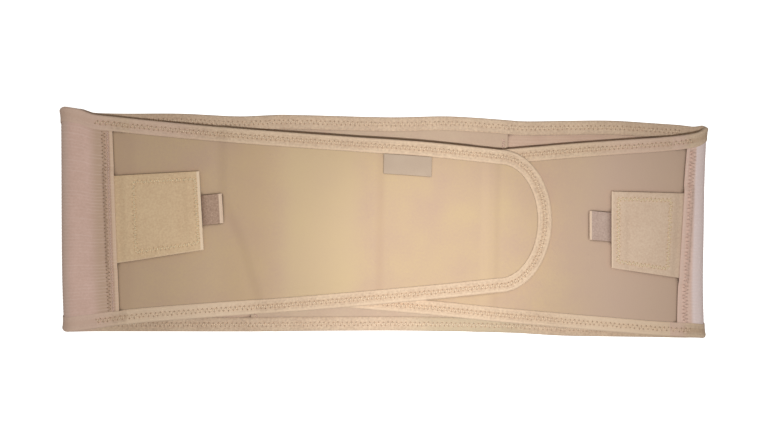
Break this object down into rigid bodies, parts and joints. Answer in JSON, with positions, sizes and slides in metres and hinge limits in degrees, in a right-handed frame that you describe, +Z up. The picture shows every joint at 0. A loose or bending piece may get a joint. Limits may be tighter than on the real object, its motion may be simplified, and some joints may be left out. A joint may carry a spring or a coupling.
{
  "type": "maternity support belt",
  "caption": "Closed wrap-round support belt laid flat: padded back panel, elastic side bands, overlapping front flaps with a round end, pull tabs and taped edges.",
  "frame": {"origin": "centre of the belt's outline, on the ground it lies on", "axes": "+X along the belt towards its right fold, +Y across it towards its upper edge, +Z up from the ground towards the front flaps"},
  "size_m": [0.469, 0.1594, 0.0195],
  "materials": {
    "panel_fabric": "smooth brushed knit on foam laminate",
    "ribbed_elastic": "fine horizontal ribs, matt",
    "binding_tape": "soft folded elastic tape with zigzag stitching",
    "tab_fabric": "brushed loop knit, zigzag stitched round its edge",
    "loop_webbing": "ribbed narrow webbing with a slight sheen",
    "hook_tape": "moulded hook tape",
    "label_weave": "plain woven label, bare"
  },
  "bodies": {
    "root": {"back_panel": "panel_fabric", "left_side_band": "ribbed_elastic", "right_side_band": "ribbed_elastic", "left_front_flap": "panel_fabric", "right_front_flap": "panel_fabric", "back_top_binding": "binding_tape", "back_bottom_binding": "binding_tape", "left_flap_binding": "binding_tape", "right_flap_binding": "binding_tape", "flap_hook_patch": "hook_tape", "left_pull_tab": "tab_fabric", "left_tab_hook": "hook_tape", "left_pull_loop": "loop_webbing", "right_pull_tab": "tab_fabric", "right_tab_hook": "hook_tape", "right_pull_loop": "loop_webbing", "label": "label_weave"}
  },
  "joints": []
}
